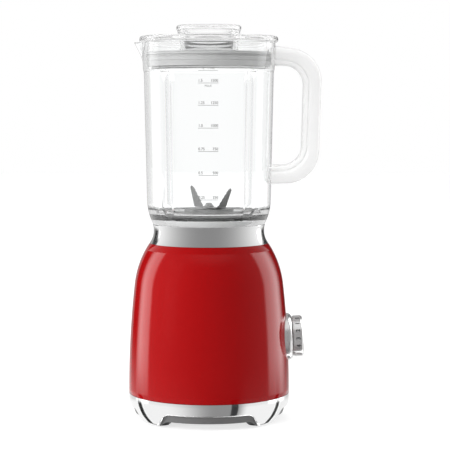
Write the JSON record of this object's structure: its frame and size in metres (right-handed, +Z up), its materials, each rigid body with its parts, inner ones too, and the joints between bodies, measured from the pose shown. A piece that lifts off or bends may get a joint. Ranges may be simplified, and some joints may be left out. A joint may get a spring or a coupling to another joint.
{
  "type": "countertop blender",
  "caption": "Countertop blender with a domed red motor base, chrome neck and skirt, side control knob and a clear lidded jug with handle, spout and blades.",
  "frame": {"origin": "on the drive axis, on the surface that the foot pads stand on", "axes": "+Z up along the drive axis, +X towards the handle and the control knob, -Y towards the user"},
  "size_m": [0.1945, 0.1665, 0.397],
  "materials": {
    "chrome_trim": "satin chromed metal",
    "red_enamel": "gloss enamel on die-cast metal",
    "under_plastic": "matte moulded plastic",
    "foot_rubber": "matte rubber",
    "screw_steel": "zinc plated steel",
    "knob_metal": "satin nickel",
    "switch_plastic": "matte black plastic",
    "board_laminate": "green circuit laminate",
    "capacitor_film": "moulded capacitor case",
    "sink_alloy": "extruded, plain",
    "terminal_blue": "moulded terminal block",
    "deck_plastic": "matte grey plastic",
    "seal_silicone": "soft grey silicone",
    "bracket_alloy": "pressure die-cast, plain",
    "bearing_steel": "ground bearing steel",
    "core_steel": "laminated electrical steel",
    "copper_wire": "enamelled copper wire",
    "bronze_bush": "sintered bronze",
    "holder_resin": "phenolic resin",
    "brush_carbon": "pressed carbon",
    "fan_nylon": "natural nylon",
    "spring_steel": "spring wire",
    "clear_jug": "clear gloss plastic",
    "collar_metal": "satin grey",
    "blade_steel": "brushed stainless steel",
    "dog_plastic": "glass filled nylon"
  },
  "bodies": {
    "motor_base": {"skirt": "chrome_trim", "floor_plate": "under_plastic", "foot_pads": "foot_rubber", "plate_screws": "screw_steel", "housing": "red_enamel", "knob_bezel": "knob_metal", "switch_nut": "screw_steel", "rotary_switch": "switch_plastic", "cord_gland": "switch_plastic", "control_board": "board_laminate", "board_capacitor": "capacitor_film", "board_heat_sink": "sink_alloy", "board_terminals": "terminal_blue", "neck": "chrome_trim", "neck_screws": "screw_steel", "deck": "deck_plastic", "seat_ring": "foot_rubber", "interlock_switch": "switch_plastic", "motor_mounts": "foot_rubber", "mount_screws": "screw_steel", "upper_bracket": "bracket_alloy", "bearing_outer_race": "bearing_steel", "bearing_balls": "bearing_steel", "stator_core": "core_steel", "field_coils": "copper_wire", "lower_bracket": "bracket_alloy", "lower_bush": "bronze_bush", "brush_holders": "holder_resin", "carbon_brushes": "brush_carbon", "brush_springs": "spring_steel", "motor_bolts": "screw_steel"},
    "rotor": {"motor_shaft": "bearing_steel", "rotor_core": "core_steel", "rotor_windings": "copper_wire", "commutator": "copper_wire", "cooling_fan": "fan_nylon", "bearing_inner_race": "bearing_steel", "drive_socket": "dog_plastic", "coupling_nut": "screw_steel"},
    "plunger": {"interlock_plunger": "fan_nylon", "plunger_spring": "spring_steel"},
    "control": {"knob": "knob_metal", "knob_cap": "knob_metal", "switch_shaft": "screw_steel"},
    "jug": {"jug": "clear_jug", "jug_collar": "collar_metal", "hub_gasket": "seal_silicone", "blade_hub": "blade_steel", "ring_nut": "deck_plastic", "hub_bushes": "bronze_bush"},
    "blades": {"blade_shaft": "bearing_steel", "lower_blade": "blade_steel", "middle_blade": "blade_steel", "upper_blade": "blade_steel", "blade_nut": "blade_steel", "drive_dog": "dog_plastic"},
    "lid": {"lid": "clear_jug", "lid_seal": "seal_silicone"},
    "cap": {"measuring_cap": "clear_jug"}
  },
  "joints": [
    {"name": "jug_lift", "type": "slide", "parent": "motor_base", "child": "jug", "axis": [0, 0, 1], "range_m": [0, 0.08]},
    {"name": "lid_lift", "type": "slide", "parent": "jug", "child": "lid", "axis": [0, 0, 1], "range_m": [0, 0.06]},
    {"name": "cap_lift", "type": "slide", "parent": "lid", "child": "cap", "axis": [0, 0, 1], "range_m": [0, 0.05]},
    {"name": "blade_spin", "type": "hinge", "parent": "jug", "child": "blades", "pos_m": [0, 0, 0.2], "axis": [0, 0, 1], "continuous": true},
    {"name": "rotor_spin", "type": "hinge", "parent": "motor_base", "child": "rotor", "pos_m": [0, 0, 0.1], "axis": [0, 0, 1], "continuous": true},
    {"name": "knob_turn", "type": "hinge", "parent": "motor_base", "child": "control", "pos_m": [0.07991, 0, 0.0824], "axis": [-0.9984, 0, -0.0569], "range_deg": [-25, 93]},
    {"name": "interlock_press", "type": "slide", "parent": "motor_base", "child": "plunger", "axis": [0, 0, 1], "range_m": [-0.0015, 0], "stiffness_N_per_m": 300, "springref_m": 0.002, "deforming": ["plunger_spring"]}
  ],
  "couplings": [
    {"joint": "blade_spin", "follows": "rotor_spin", "ratio": 1}
  ]
}
